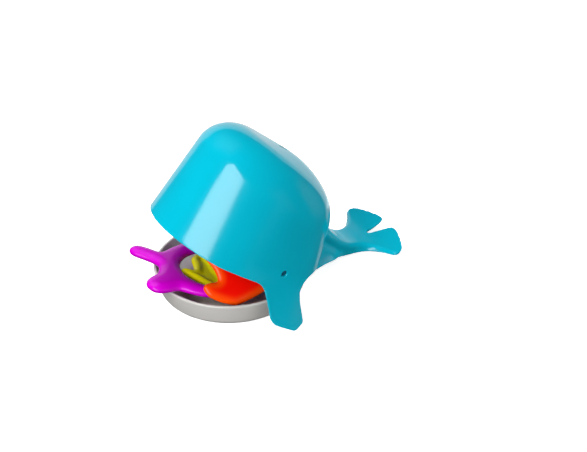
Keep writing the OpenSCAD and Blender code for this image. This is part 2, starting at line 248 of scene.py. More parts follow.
def plan(phi, z):
    """Distance from the middle for a head of half width 1: an ellipse in front, squarer behind."""
    rear_half = np.cos(phi) > 0
    square = 2 + (FLIPPER_SQUARE - 2) * ease((LIP_Z + SQUARE_H - z) / SQUARE_H)
    n = np.where(rear_half, square, 2.0)
    reach = np.where(rear_half, HEAD_REAR, HEAD_FRONT) / HEAD_SIDE
    return ((np.abs(np.cos(phi)) / reach) ** n + np.abs(np.sin(phi)) ** n) ** (-1 / n)


print("the lip is", HEAD_FRONT + HEAD_REAR, "mm long and", 2 * HEAD_SIDE, "mm wide")

# %% [markdown]
# The rule becomes a mesh by way of rings: hoops of points are laid over each other like those of a barrel,
# and a skin of four-sided faces is stretched over them, closed by one point at each end. Every point then
# lies on the rule, which a cage under a subdivision modifier would only come near.

# %% Head as rings
SKIRT_Z = 3.0


def face_outwards(mesh):
    """Turns all faces of a mesh outwards."""
    edit = bmesh.new()
    edit.from_mesh(mesh)
    bmesh.ops.recalc_face_normals(edit, faces=edit.faces)
    edit.to_mesh(mesh)
    edit.free()


def new_piece(name, points, faces):
    """A mesh object from points in millimetres, its faces turned outwards."""
    mesh = bpy.data.meshes.new(name)
    mesh.from_pydata((np.array(points) * MM).tolist(), [], faces)
    face_outwards(mesh)
    piece = bpy.data.objects.new(name, mesh)
    scene.collection.objects.link(piece)
    return piece


def skinned(name, rings, low, high):
    """A closed skin over rings of equal length, with a point under the first and one over the last."""
    rows, count = len(rings), len(rings[0])
    faces = []
    for k in range(rows - 1):
        for i in range(count):
            j = (i + 1) % count
            faces.append((k * count + i, k * count + j, (k + 1) * count + j, (k + 1) * count + i))
    first, last = rows * count, rows * count + 1
    for i in range(count):
        j = (i + 1) % count
        faces.append((j, i, first))
        faces.append(((rows - 1) * count + i, (rows - 1) * count + j, last))
    return new_piece(name, np.vstack([*rings, [low], [high]]), faces)


def head_form(name, inset, from_z, segments, wall_rows, shoulder_rows, crown_rows):
    """The head as a full body, smaller by an inset."""
    phi = np.arange(segments) * 2 * np.pi / segments - np.pi
    rear = (1 + np.cos(phi)) / 2
    radius = FRONT_SHOULDER + (REAR_SHOULDER - FRONT_SHOULDER) * rear - inset
    top = LIP_Z + HEAD_H - BACK_DROP * rear - inset
    middle = LIP_Z + HEAD_H - BACK_DROP / 2 + CROWN_H - inset
    start = math.atan(HEAD_LEAN)
    spring = top - radius + radius * math.sin(start)
    centre = side(spring) - inset - radius * math.cos(start)
    tilt = 2 * np.arctan((middle - top) / centre)
    crown_radius = radius + centre / np.sin(tilt)
    rings = []
    for t in np.linspace(0, 1, wall_rows):
        z = from_z + (spring - from_z) * t
        rings.append((side(z) + sweep(phi, z) - inset, z))
    for t in np.linspace(0, 1, shoulder_rows)[1:]:
        q = start + (np.pi / 2 - tilt - start) * t
        rings.append((centre + radius * np.cos(q), top - radius + radius * np.sin(q)))
    for t in np.linspace(1, 0, crown_rows)[1:-1]:
        rings.append((crown_radius * np.sin(tilt * t), middle - crown_radius * (1 - np.cos(tilt * t))))
    points = []
    for r, z in rings:
        out = r * plan(phi, z)
        points.append(np.stack([out * np.cos(phi), out * np.sin(phi), z], axis=1))
    return skinned(name, points, (0, 0, from_z), (0, 0, middle))


head = head_form(
    "head_shell", 0.0, SKIRT_Z, segments=288, wall_rows=60, shoulder_rows=24, crown_rows=20,
)
inside = head_form(
    "inside", HEAD_WALL, SKIRT_Z - 8, segments=144, wall_rows=40, shoulder_rows=16, crown_rows=12,
)
print("head reaches", round(max(v.co.z for v in head.data.vertices) / MM, 1), "mm high with its mouth shut")

# %% [markdown]
# ## The tail
# A flat-topped stem grows out of the head's back with skirts that spread into it, narrows, and then curls
# up and widens into two flukes. Smooth curves over the length give its top, its underside, its half width
# and its rounding, the way a boat is drawn, so that each can be changed without touching the others. It is
# hollow from below, because a thick lump of plastic would sink as it cools.

# %% Tail lines
STEM_X, STEM_W, STEM_T = HEAD_REAR + 33.5, 14.7, 11.5
STEM_Z = LIP_Z + 44.7
TAIL_WALL = 2.4
FLUKE_SPAN, FLUKE_L, FLUKE_T, NOTCH = 83.0, 34.5, 3.6, 15.5
TAIL_FROM, TAIL_END = HEAD_REAR - 19.5, STEM_X + FLUKE_L + 4
TIP_X, TIP_RISE, END_RISE = STEM_X + 0.68 * FLUKE_L, 15.3, 31.2
HALF_SPAN = FLUKE_SPAN / 2
tail_top = [
    (TAIL_FROM, LIP_Z + 53), (HEAD_REAR + 0.5, LIP_Z + 49.6), (HEAD_REAR + 8.5, LIP_Z + 46.6),
    (HEAD_REAR + 15.5, LIP_Z + 44.4), (STEM_X - 10, LIP_Z + 43.2), (STEM_X, STEM_Z),
    (STEM_X + 10, STEM_Z + 5.6), (TIP_X, STEM_Z + TIP_RISE), (TAIL_END, STEM_Z + END_RISE),
]
tail_under = [
    (TAIL_FROM, LIP_Z + 19), (HEAD_REAR - 13.5, LIP_Z + 21.6), (HEAD_REAR, LIP_Z + 25.8),
    (HEAD_REAR + 13.5, LIP_Z + 28.4), (STEM_X - 10, LIP_Z + 30), (STEM_X, STEM_Z - STEM_T),
    (STEM_X + 11, STEM_Z - 0.15 * STEM_T), (TIP_X, STEM_Z + TIP_RISE - FLUKE_T),
    (TAIL_END, STEM_Z + END_RISE - FLUKE_T),
]
fluke_half = [
    (STEM_X, STEM_W), (STEM_X + 6.5, STEM_W + 1.4), (STEM_X + 13, 0.5 * HALF_SPAN),
    (STEM_X + 18.5, 0.72 * HALF_SPAN), (TIP_X, HALF_SPAN), (TIP_X + 4, HALF_SPAN + 2),
    (TAIL_END, HALF_SPAN + 2),
]
tail_half = [
    (TAIL_FROM, STEM_W + 1.5), (HEAD_REAR + 0.5, STEM_W + 0.8), (HEAD_REAR + 15.5, STEM_W + 0.2),
    (STEM_X - 10, STEM_W - 0.1), *fluke_half,
]
tail_skirt = [
    (TAIL_FROM, HEAD_SIDE - 13.5), (HEAD_REAR - 13.5, HEAD_SIDE - 16.5), (HEAD_REAR, HEAD_SIDE - 25.5),
    (HEAD_REAR + 13.5, STEM_W + 11.5), (STEM_X - 10, STEM_W + 3.8), *fluke_half,
]
tail_round = [(TAIL_FROM, 13), (HEAD_REAR + 4, 10), (HEAD_REAR + 16, 6), (STEM_X - 6, 4), (TAIL_END, 4)]
print("tail ends", TAIL_END, "mm behind the middle")

# %% [markdown]
# Each ring of the tail is one side's outline and its mirror image: along the underside, round the lower
# edge, up the flank, which spreads into the skirt, and round the upper edge to the flat top.

# %% Tail as rings
UNDER_ROUND, TOP_SHARE, END_SINK = 1.5, 0.45, 0.4
CORE_DROP = 12.0


def through(points, x):
    """The height at x of a smooth curve through points."""
    xs, ys = np.array(points, float).T
    slopes = np.zeros(len(xs))
    slopes[1:-1] = (ys[2:] - ys[:-2]) / (xs[2:] - xs[:-2])
    slopes[0] = (ys[1] - ys[0]) / (xs[1] - xs[0])
    slopes[-1] = (ys[-1] - ys[-2]) / (xs[-1] - xs[-2])
    i = np.clip(np.searchsorted(xs, x, side="right") - 1, 0, len(xs) - 2)
    h = xs[i + 1] - xs[i]
    t = (x - xs[i]) / h
    near = ys[i] * (1 + 2 * t) + h * slopes[i] * t
    far = ys[i + 1] * (3 - 2 * t) + h * slopes[i + 1] * (t - 1)
    return float(near * (1 - t) ** 2 + far * t * t)


def tail_ring(x, inset, drop):
    """One ring of the tail at a distance behind the middle."""
    top = through(tail_top, x) - inset
    under = through(tail_under, x) - drop
    half = through(tail_half, x) - inset
    skirt = max(through(tail_skirt, x) - inset, half)
    r = min(through(tail_round, x), TOP_SHARE * (top - under))
    low = min(r, UNDER_ROUND)
    flank = [(skirt * t, under) for t in (0.25, 0.5, 0.75)]
    for q in np.radians([-90, -60, -30, 0]):
        flank.append((skirt - low + low * math.cos(q), under + low + low * math.sin(q)))
    for t in np.linspace(0, 1, 14)[1:-1]:
        flank.append((half + (skirt - half) * (1 - t) ** 2, under + low + (top - r - under - low) * t))
    for q in np.radians(np.arange(0, 91, 10)):
        flank.append((half - r + r * math.cos(q), top - r + r * math.sin(q)))
    flank += [((half - r) * t, top) for t in (0.75, 0.5, 0.25)]
    right = [(x, y, z) for y, z in flank]
    left = [(x, -y, z) for y, z in reversed(flank)]
    return [(x, 0, under)] + right + [(x, 0, top)] + left


def tail_form(name, inset, drop, from_x, to_x, rows):
    """The tail as a full body between two distances behind the middle."""
    rings = [tail_ring(x, inset, drop) for x in np.linspace(from_x, to_x, rows)]
    first = (from_x, 0, (through(tail_top, from_x) + through(tail_under, from_x)) / 2)
    last = (to_x, 0, through(tail_top, to_x) - inset - END_SINK)
    return skinned(name, np.array(rings), first, last)


tail = tail_form("tail", 0.0, 0.0, TAIL_FROM, TAIL_END, rows=120)
tail_core = tail_form("tail_core", TAIL_WALL, CORE_DROP, HEAD_REAR + 3, STEM_X + 8, rows=50)
print("tail has", len(tail.data.vertices), "points and its core", len(tail_core.data.vertices))

# %% [markdown]
# ## The cuts
# Two lines finish the outline: one seen from the side, along the lip, round the flipper and up the arch that
# lets the tray's rear swing in, and one seen from above, round the flukes and their notch. Each is a smooth
# line through a few points, and a block over it takes away what lies outside.

# %% Cutting blocks
FAR = 200.0


def smooth_line(points, steps):
    """A smooth open line through points, with a number of steps between two points."""
    p = np.array(points, float)
    p = np.vstack([2 * p[0] - p[1], p, 2 * p[-1] - p[-2]])
    t = (np.arange(steps) / steps)[:, None]
    parts = []
    for a, b, c, d in zip(p, p[1:], p[2:], p[3:]):
        bend = a - 2.5 * b + 2 * c - 0.5 * d
        twist = 0.5 * (d - a) + 1.5 * (b - c)
        parts.append(b + 0.5 * (c - a) * t + bend * t ** 2 + twist * t ** 3)
    return np.vstack(parts + [p[-2:-1]])


def prism(name, outline, low, high, up):
    """A block over an outline in the plane: up places a point of the outline at a height."""
    count = len(outline)
    points = [up(p, low) for p in outline] + [up(p, high) for p in outline]
    faces = [tuple(range(count)), tuple(range(2 * count - 1, count - 1, -1))]
    faces += [(i, (i + 1) % count, count + (i + 1) % count, count + i) for i in range(count)]
    return new_piece(name, points, faces)


print("cutting blocks reach", FAR, "mm out")

# %% Cut under the head
FLIPPER_W, FLIPPER_DROP, FLIPPER_BACK = 30.0, 18.0, 13.0
ROOT_X = HINGE_X - 15.5
FRONT_X = ROOT_X + FLIPPER_BACK
REAR_X = FRONT_X + FLIPPER_W
ARCH_X = ROOT_X + FLIPPER_W + 6
TIP_Z = LIP_Z - FLIPPER_DROP
lip = [(ROOT_X - 14, LIP_Z + 1.5), (ROOT_X - 3, LIP_Z + 1.8), (ROOT_X + 3.5, LIP_Z - 1.5)]
flipper = [
    (ROOT_X + 0.76 * FLIPPER_BACK, LIP_Z - 0.61 * FLIPPER_DROP), (FRONT_X - 0.8, TIP_Z + 2.2),
    (FRONT_X + 3.4, TIP_Z - 0.2), (FRONT_X + 13, TIP_Z - 0.3), (REAR_X - 6.5, TIP_Z + 0.7),
    (REAR_X - 0.7, TIP_Z + 4.7), (REAR_X + 1.3, TIP_Z + 6.6), (REAR_X + 1, TIP_Z + 9),
    (REAR_X - 1, TIP_Z + 14),
]
arch = [
    (ARCH_X + 4, LIP_Z + 0.5), (ARCH_X + 2.8, LIP_Z + 8), (ARCH_X + 10.5, LIP_Z + 18),
    (ARCH_X + 28, LIP_Z + 25), (ARCH_X + 48, LIP_Z + 28),
]
under_line = smooth_line(lip + flipper + arch, 10)
below = [
    (-FAR, -FAR), (-FAR, LIP_Z), (-30, LIP_Z), *under_line, (ARCH_X + 92, LIP_Z + 10), (ARCH_X + 92, -FAR),
]
under_cut = prism("under_cut", below, -FAR, FAR, lambda p, h: (p[0], h, p[1]))
print("the line under the head has", len(under_line), "points")

# %% Cut round the flukes
FLUKE_X = STEM_X + FLUKE_L
fluke_half_edge = [
    (TIP_X - 1.1, HALF_SPAN - 2.9), (TIP_X + 0.5, HALF_SPAN - 1.7), (TIP_X + 2.4, HALF_SPAN - 2.5),
    (TIP_X + 4.6, 0.87 * HALF_SPAN), (TIP_X + 7.6, 0.66 * HALF_SPAN), (FLUKE_X - 0.6, 0.38 * HALF_SPAN),
    (FLUKE_X - 0.1, 9.8), (FLUKE_X - 1.8, 6.2), (FLUKE_X - 0.6 * NOTCH, 3.1), (FLUKE_X - 0.92 * NOTCH, 2.0),
]
other_half_edge = [(x, -y) for x, y in reversed(fluke_half_edge)]
fluke_edge = smooth_line([*fluke_half_edge, (FLUKE_X - NOTCH, 0), *other_half_edge], 8)
clear_x, clear_y = TIP_X - 10, HALF_SPAN + 2
beyond = [(FAR, FLUKE_SPAN), (clear_x, clear_y), *fluke_edge, (clear_x, -clear_y), (FAR, -FLUKE_SPAN)]
fluke_cut = prism("fluke_cut", beyond, 0, FAR, lambda p, h: (p[0], p[1], h))
print("the line round the flukes has", len(fluke_edge), "points")

# %% [markdown]
# ## One moulding
# Head and tail become one body, the inside is taken out, and the cuts are made with the mouth shut. Booleans
# do this as a toolmaker would, by adding and taking away whole bodies. Then the head turns open about its
# pins, and room is cut for the tray's rim.

# %% Head, joined and opened
OPEN_ANGLE = math.radians(36.0)
TRAY_ROOM = 0.4


def worked_in(piece):
    """Works the piece's modifiers into its mesh."""
    depsgraph = bpy.context.evaluated_depsgraph_get()
    mesh = bpy.data.meshes.new_from_object(piece.evaluated_get(depsgraph))
    piece.modifiers.clear()
    piece.data = mesh


def combine(piece, other, how):
    """Joins another body to the piece or cuts it away, and removes the other body."""
    step = piece.modifiers.new(how, "BOOLEAN")
    step.operation = how
    step.solver = "MANIFOLD"
    step.object = other
    worked_in(piece)
    bpy.data.objects.remove(other)


def turned_piece(name, profile, steps, place):
    """A body turned about an axis: the profile holds (radius, height) and place sets it in space."""
    angles = np.arange(steps) * 2 * np.pi / steps
    rings = [[place(r * math.cos(a), r * math.sin(a), h) for a in angles] for r, h in profile]
    return skinned(name, np.array(rings), place(0, 0, profile[0][1]), place(0, 0, profile[-1][1]))


def upright(x, y, h):
    """Places a turned body on the tray's axis."""
    return x, y, h


combine(tail, fluke_cut, "DIFFERENCE")
combine(head, tail, "UNION")
for cut in (inside, tail_core, under_cut):
    combine(head, cut, "DIFFERENCE")
hinge = Vector((HINGE_X, 0, HINGE_Z)) * MM
swing = Matrix.Rotation(OPEN_ANGLE, 4, "Y")
opening = Matrix.Translation(hinge) @ swing @ Matrix.Translation(-hinge)
head.data.transform(opening)
room_profile = [(TRAY_R + TRAY_ROOM, -FAR), (TRAY_R + TRAY_ROOM, TRAY_H + TRAY_ROOM)]
combine(head, turned_piece("tray_room", room_profile, 180, upright), "DIFFERENCE")
print("head before rounding:", len(head.data.polygons), "faces")

# %% [markdown]
# Bosses for the pins stand inside the head's wall. Then the whole is rebuilt on an even grid and relaxed: no
# mould has a sharp edge, so the lip, the crease at the tail and the flukes all turn round. Bevels would need
# clean edges, which a boolean doesn't leave.

# %% Head, rounded
PIN_R, BOSS_WALL, BOSS_Y = 2.1, 3.2, 54.0
EYE_Y = 59.2
BOSS_SINK = 1.5
HEAD_GRID, HEAD_ROUNDS, HEAD_KEEP = 0.5, 14, 0.19
SIDES = ((-1, "left"), (1, "right"))


def on_hinge(way):
    """Places a turned body on the hinge's axis, on the left (-1) or the right (1)."""
    return lambda x, y, h: (HINGE_X + x, way * h, HINGE_Z + y)


def rounded(piece, grid, rounds, keep):
    """Rebuilds the piece on an even grid, relaxes it to round its edges, and keeps a share of faces."""
    step = piece.modifiers.new("grid", "REMESH")
    step.mode = "VOXEL"
    step.voxel_size = grid * MM
    relax = piece.modifiers.new("relax", "SMOOTH")
    relax.iterations = rounds
    if keep < 1:
        thin = piece.modifiers.new("thin", "DECIMATE")
        thin.ratio = keep
    worked_in(piece)
    piece.data.shade_smooth()


boss_profile = [(PIN_R + BOSS_WALL, BOSS_Y), (PIN_R + BOSS_WALL, EYE_Y - BOSS_SINK)]
for way, side_name in SIDES:
    combine(head, turned_piece("boss_" + side_name, boss_profile, 64, on_hinge(way)), "UNION")
rounded(head, HEAD_GRID, HEAD_ROUNDS, HEAD_KEEP)
print("head after rounding:", len(head.data.polygons), "faces")

# %% [markdown]
# The eyes are where the hinge pins end below the surface: a small dimple with a rounded rim. The blowhole
# is a slit in the crown. Both are cut after the rounding, so they stay crisp.

# %% Eyes and blowhole
EYE_FLARE = ((0.0, -1.3), (0.15, -0.9), (0.35, -0.4), (0.65, 0.0), (1.1, 0.4), (4.0, 3.0))
BLOWHOLE_L, BLOWHOLE_W, BLOWHOLE_DEPTH = 9.0, 2.6, 15.0
CRISP = math.radians(40)


def crisp(piece):
    """Shades the piece smooth, apart from edges that turn sharply."""
    piece.data.shade_smooth()
    piece.data.set_sharp_from_angle(angle=CRISP)


def finished(piece, material, slot, body, *stands_for):
    """Gives the piece its material and body, and hides the CAD nodes it stands for; slot is not used."""
    piece.data.materials.clear()
    piece.data.materials.append(material)
    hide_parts(*stands_for)
    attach(piece, body)
    triangles = sum(len(f.vertices) - 2 for f in piece.data.polygons)
    print(piece.name, triangles, "triangles")


eye_profile = [(PIN_R, BOSS_Y - 1)] + [(PIN_R + wider, EYE_Y + out) for wider, out in EYE_FLARE]
for way, side_name in SIDES:
    combine(head, turned_piece("eye_" + side_name, eye_profile, 48, on_hinge(way)), "DIFFERENCE")
end_r = BLOWHOLE_W / 2
end_x = BLOWHOLE_L / 2 - end_r
slit_line = [
    (s * (end_x + end_r * math.cos(a)), s * end_r * math.sin(a))
    for s in (1, -1) for a in np.linspace(-math.pi / 2, math.pi / 2, 13)
]
slit_z = LIP_Z + HEAD_H
slit = prism(
    "blowhole", slit_line, slit_z - BLOWHOLE_DEPTH, slit_z + BLOWHOLE_DEPTH, lambda p, h: (p[0], p[1], h),
)
slit.data.transform(opening)
combine(head, slit, "DIFFERENCE")
crisp(head)
finished(head, blue, "blue_plastic", "head", "whale_head")

# %% [markdown]
# ## The jaw tray
# A tray like this is turned in the mould maker's lathe, so one profile swept round a circle says it all:
# foot, round corner, leaning wall and a rim with a full radius. A screw modifier could sweep it, but geometry
# nodes also draw it: the corners of the profile come from named sizes, each corner gets its own radius, and
# a circle carries the profile round.

# %% Tray tree
ROUND_STEPS, CIRCLE_STEPS = 10, 240
RIM_SHARE = 2.05
MERGE_MM = 0.02


def dish_tree(material):
    """Geometry nodes for a turned dish with named sizes, in metres."""
    tree = bpy.data.node_groups.new("turned_dish", "GeometryNodeTree")
    tree.interface.new_socket("Geometry", in_out="OUTPUT", socket_type="NodeSocketGeometry")
    for name in ("Rim radius", "Height", "Lean", "Corner", "Wall"):
        tree.interface.new_socket(name, in_out="INPUT", socket_type="NodeSocketFloat")
    sizes = add_node(tree, "NodeGroupInput", {}).outputs
    axis, foot, top, wall = (
        add_node(tree, "ShaderNodeMath", {0: 0.0, 1: sizes[name]}, operation="SUBTRACT").outputs[0]
        for name in ("Rim radius", "Lean", "Height", "Wall")
    )
    inner_foot, inner_round = (
        add_node(tree, "ShaderNodeMath", {0: outer, 1: sizes["Wall"]}, operation="SUBTRACT").outputs[0]
        for outer in (foot, sizes["Corner"])
    )
    rim_round = add_node(
        tree, "ShaderNodeMath", {0: sizes["Wall"], 1: RIM_SHARE}, operation="DIVIDE",
    ).outputs[0]
    corners = [
        add_node(tree, "ShaderNodeCombineXYZ", {"X": x, "Y": y}).outputs[0]
        for x, y in ((axis, 0.0), (foot, 0.0), (0.0, top), (wall, top), (inner_foot, wall), (axis, wall))
    ]
    rounds = [0.0, sizes["Corner"], rim_round, rim_round, inner_round, 0.0]
    index = add_node(tree, "GeometryNodeInputIndex", {}).outputs["Index"]
    each = {}
    for kind, values in (("VECTOR", corners), ("FLOAT", rounds)):
        switch = add_node(tree, "GeometryNodeIndexSwitch", {"Index": index}, data_type=kind)
        while len(switch.index_switch_items) < len(values):
            switch.index_switch_items.new()
        plug(tree, switch, {str(i): value for i, value in enumerate(values)})
        each[kind] = switch.outputs[0]
    line = add_node(tree, "GeometryNodeMeshLine", {"Count": len(corners)})
    curve = add_node(tree, "GeometryNodeMeshToCurve", {"Mesh": line.outputs["Mesh"]})
    placed = add_node(tree, "GeometryNodeSetPosition", {
        "Geometry": curve.outputs["Curve"], "Position": each["VECTOR"],
    })
    profile = add_node(tree, "GeometryNodeFilletCurve", {
        "Curve": placed.outputs["Geometry"], "Count": ROUND_STEPS, "Radius": each["FLOAT"],
        "Limit Radius": True,
    }, mode="POLY")
    circle = add_node(tree, "GeometryNodeCurvePrimitiveCircle", {
        "Resolution": CIRCLE_STEPS, "Radius": sizes["Rim radius"],
    })
    swept = add_node(tree, "GeometryNodeCurveToMesh", {
        "Curve": circle.outputs["Curve"], "Profile Curve": profile.outputs["Curve"],
    })
    closed = add_node(tree, "GeometryNodeMergeByDistance", {
        "Geometry": swept.outputs["Mesh"], "Distance": MERGE_MM * MM,
    })
    real = add_node(tree, "GeometryNodeRealizeInstances", {"Geometry": closed.outputs["Geometry"]})
    painted = add_node(tree, "GeometryNodeSetMaterial", {
        "Geometry": real.outputs["Geometry"], "Material": material,
    })
    add_node(tree, "NodeGroupOutput", {"Geometry": painted.outputs["Geometry"]})
    return tree


turned_dish = dish_tree(white)
print("the tray's tree has", len(turned_dish.nodes), "nodes")

# %% Tray
TRAY_LEAN, TRAY_CORNER, TRAY_WALL = 4.4, 7.5, 2.6


def from_tree(name, tree, sizes):
    """A plain mesh piece from a geometry nodes tree with its sizes set, in millimetres."""
    piece = bpy.data.objects.new(name, bpy.data.meshes.new(name))
    scene.collection.objects.link(piece)
    step = piece.modifiers.new(tree.name, "NODES")
    step.node_group = tree
    for item in tree.interface.items_tree:
        if item.in_out == "INPUT":
            step[item.identifier] = sizes[item.name] * MM
    worked_in(piece)
    face_outwards(piece.data)
    piece.data.shade_smooth()
    return piece


tray = from_tree("jaw_tray", turned_dish, {
    "Rim radius": TRAY_R, "Height": TRAY_H, "Lean": TRAY_LEAN, "Corner": TRAY_CORNER, "Wall": TRAY_WALL,
})
finished(tray, white, "white_plastic", "jaw", "lower_jaw")
print("tray box in mm:", [round(s / MM, 1) for s in tray.dimensions])

# %% [markdown]
# Two ears stand inside the tray and carry the hinge pins. They are flat lugs with a round top, a bore, and
# edges broken just enough to leave the mould. What would reach through the tray's wall is cut off by a body
# that fits inside the tray's outside.

# %% Ears
EAR_R, EAR_T, EAR_Y, EAR_FOOT = 6.5, 3.2, TRAY_R - 8.4, 9.5
EAR_BREAK = 0.3
PIN_PLAY = 0.06
ROOM_IN = 0.5
top_arc = [
    (HINGE_X + EAR_R * math.cos(a), HINGE_Z + EAR_R * math.sin(a)) for a in np.linspace(0, math.pi, 33)
]
ear_outline = [(HINGE_X + EAR_FOOT, TRAY_WALL / 2), *top_arc, (HINGE_X - EAR_FOOT, TRAY_WALL / 2)]
bore_profile = [(PIN_R + PIN_PLAY, EAR_Y - EAR_T - 1), (PIN_R + PIN_PLAY, EAR_Y + 1)]
corner_r = TRAY_R - TRAY_LEAN - TRAY_CORNER - ROOM_IN
corner_z = TRAY_CORNER + ROOM_IN
wall_r = TRAY_R - TRAY_WALL / 2
dish_room = [
    (corner_r + TRAY_CORNER * math.cos(a), corner_z + TRAY_CORNER * math.sin(a))
    for a in np.linspace(-math.pi / 2, 0, 13)
]
dish_room += [(wall_r, TRAY_H), (wall_r, FAR)]
for way, side_name in SIDES:
    ear = prism("ear_" + side_name, ear_outline, EAR_Y - EAR_T, EAR_Y, lambda p, h: (p[0], way * h, p[1]))
    combine(ear, turned_piece("bore", bore_profile, 48, on_hinge(way)), "DIFFERENCE")
    combine(ear, turned_piece("room", dish_room, 120, upright), "INTERSECT")
    bevel = ear.modifiers.new("edge", "BEVEL")
    bevel.width = EAR_BREAK * MM
    bevel.segments = 3
    worked_in(ear)
    crisp(ear)
    finished(ear, white, "white_plastic", "jaw", "lower_jaw")

# %% [markdown]
# The pins are turned rods with a flat head inside the ear and a round end that sits just below the eye's
# rim. Turning a profile about the hinge's axis makes them, and their dark blue is painted shade: it makes the
# end of each pin the shadow inside the eye.

# %% Pins
PIN_HEAD_R, PIN_HEAD_T, PIN_FROM, PIN_TO = 3.9, 1.6, 48.4, 58.4
pin_profile = [
    (PIN_HEAD_R - 0.4, PIN_FROM), (PIN_HEAD_R - 0.1, PIN_FROM + 0.1), (PIN_HEAD_R, PIN_FROM + 0.4),
    (PIN_HEAD_R, PIN_FROM + PIN_HEAD_T), (PIN_R, PIN_FROM + PIN_HEAD_T), (PIN_R, PIN_TO - 0.6),
    (PIN_R - 0.2, PIN_TO - 0.2), (PIN_R - 0.7, PIN_TO),
]
for way, side_name in SIDES:
    pin = turned_piece("pin_" + side_name, pin_profile, 48, on_hinge(way))
    crisp(pin)
    # the dark pin ends are painted shade: the shadow inside each eye
    finished(pin, eye_shade_blue, "blue_plastic", "head", "hinge_pin_" + side_name)

# %% [markdown]
# ## The fish
# Each fish is a flat cushion cast in soft plastic. The CAD meshes give the outlines; a copy is rebuilt on a
# fine grid, relaxed until the facets are gone, and swollen by what the relaxing took away. For the next step
# the distance of every point from the fish's rim is needed. A tree of points finds the nearest rim point
# fast.

# %% Fish copies and their rims
DOUBLES_MM = 0.001
FACET_ROUNDS = 24
UPRIGHT_LIMIT = 0.3


def swollen_copy(name, node, grid, swell):
    """A copy of a CAD fish, relaxed and then swollen along its normals."""
    piece = bpy.data.objects.new(name, nodes[node].data.copy())
    scene.collection.objects.link(piece)
    edit = bmesh.new()
    edit.from_mesh(piece.data)
    bmesh.ops.remove_doubles(edit, verts=edit.verts, dist=DOUBLES_MM * MM)
    edit.to_mesh(piece.data)
    edit.free()
    rounded(piece, grid, FACET_ROUNDS, 1.0)
    push = piece.modifiers.new("swell", "DISPLACE")
    push.strength = swell * MM
    push.mid_level = 0.0
    worked_in(piece)
    return piece


def rim_distance(in_plane, upright_faces):
    """Each point's distance from the nearest point of the rim, in millimetres."""
    rim = in_plane[upright_faces]
    tree = KDTree(len(rim))
    for i, point in enumerate(rim):
        tree.insert(point, i)
    tree.balance()
    return np.array([tree.find(point)[2] for point in in_plane]) / MM


print("CAD fish:", [name for name in nodes if name.endswith("fish")])

# %% [markdown]
# Then the faces are drawn in towards the rim, so that they swell like a pillow, and the yellow fish gets a
# shallow dent in its upper face. A last relaxing takes out the creases along the middle. The distance from
# the rim is also kept as an attribute, which paints the plastic paler near the rim: painted rim light, for
# the light that the thin rim catches and lets through.

# %% Fish
FISH_SLOPE, LEAN_SLOPE = math.radians(12.0), math.radians(45.0)
RIM_SQUEEZE = 0.3
DENT_FROM, DENT_WIDTH = 3.0, 5.0
# how far in from the rim the painted rim light reaches, in millimetres
RIM_LIGHT_WIDTH = 8.0
CREASE_ROUNDS = 16


def cushion(name, node, facing, grid, swell, pillow, dent):
    """A pillowed copy of a CAD fish, dented on top; facing is the direction that its flat face looks in."""
    piece = swollen_copy(name, node, grid, swell)
    mesh = piece.data
    places, normals = np.zeros((2, 3 * len(mesh.vertices)))
    mesh.vertices.foreach_get("co", places)
    mesh.vertices.foreach_get("normal", normals)
    places, normals = places.reshape(-1, 3), normals.reshape(-1, 3)
    axis = np.array(facing)
    heights = places @ axis
    middle = (heights.max() + heights.min()) / 2
    in_plane = places - np.outer(heights - middle, axis)
    from_rim = rim_distance(in_plane, np.abs(normals @ axis) < UPRIGHT_LIMIT)
    squeeze = 1 - RIM_SQUEEZE * (1 - ease(from_rim / pillow))
    hollow = np.where(heights > middle, dent * MM * ease((from_rim - DENT_FROM) / DENT_WIDTH), 0.0)
    pillowed = in_plane + np.outer((heights - middle) * squeeze - hollow, axis)
    mesh.vertices.foreach_set("co", pillowed.ravel())
    mesh.update()
    # painted rim light: 1 at the rim and fading inwards; the material paints the rim paler by it
    rim_light_paint = mesh.attributes.new("edge", "FLOAT", "POINT")
    rim_light_paint.data.foreach_set("value", 1 - ease(from_rim / RIM_LIGHT_WIDTH))
    relax = piece.modifiers.new("relax", "SMOOTH")
    relax.iterations = CREASE_ROUNDS
    worked_in(piece)
    piece.data.shade_smooth()
    return piece


on_rim = (math.sin(FISH_SLOPE), 0.0, math.cos(FISH_SLOPE))
leaning = (0.0, -math.sin(LEAN_SLOPE), math.cos(LEAN_SLOPE))
ring_fish = cushion("ring_fish_body", "ring_fish", on_rim, grid=0.7, swell=0.2, pillow=7.0, dent=0.0)
fork_fish = cushion("fork_fish_body", "fork_fish", on_rim, grid=0.6, swell=0.3, pillow=7.0, dent=2.8)
fan_fish = cushion("fan_fish_body", "fan_fish", leaning, grid=0.6, swell=0.3, pillow=6.0, dent=0.0)
finished(ring_fish, purple, "purple_plastic", "ring_fish", "ring_fish")
finished(fork_fish, yellow, "yellow_plastic", "fork_fish", "fork_fish")
finished(fan_fish, orange, "orange_plastic", "fan_fish", "fan_fish")

# %% [markdown]
# ## Floor and light
# The toy stands on a sheet of white acrylic that is also lit from below, the usual way to get a white ground
# with hardly a shadow. Away from the lamps the glow makes up for what they no longer give, and a round
# backdrop rises from the sheet, so that the ground is white from every side. Both are kept out of the toy's
# mirror images and throw no light back on it, because the picture shows deep, clean colours.

# %% Floor and backdrop
SHEET_CLOUD_MM = 170.0
SHEET_SMOOTH, SHEET_ROUGH = 0.7, 0.9
GLOW_NEAR, GLOW_FAR = 0.82, 1.0
GLOW_FROM, GLOW_TO = 400.0, 1100.0
FLOOR_HALF = 4000.0
COVE_FROM, COVE_R, COVE_SINK, BACKDROP_H = 2800.0, 1000.0, 1.0, 3000.0


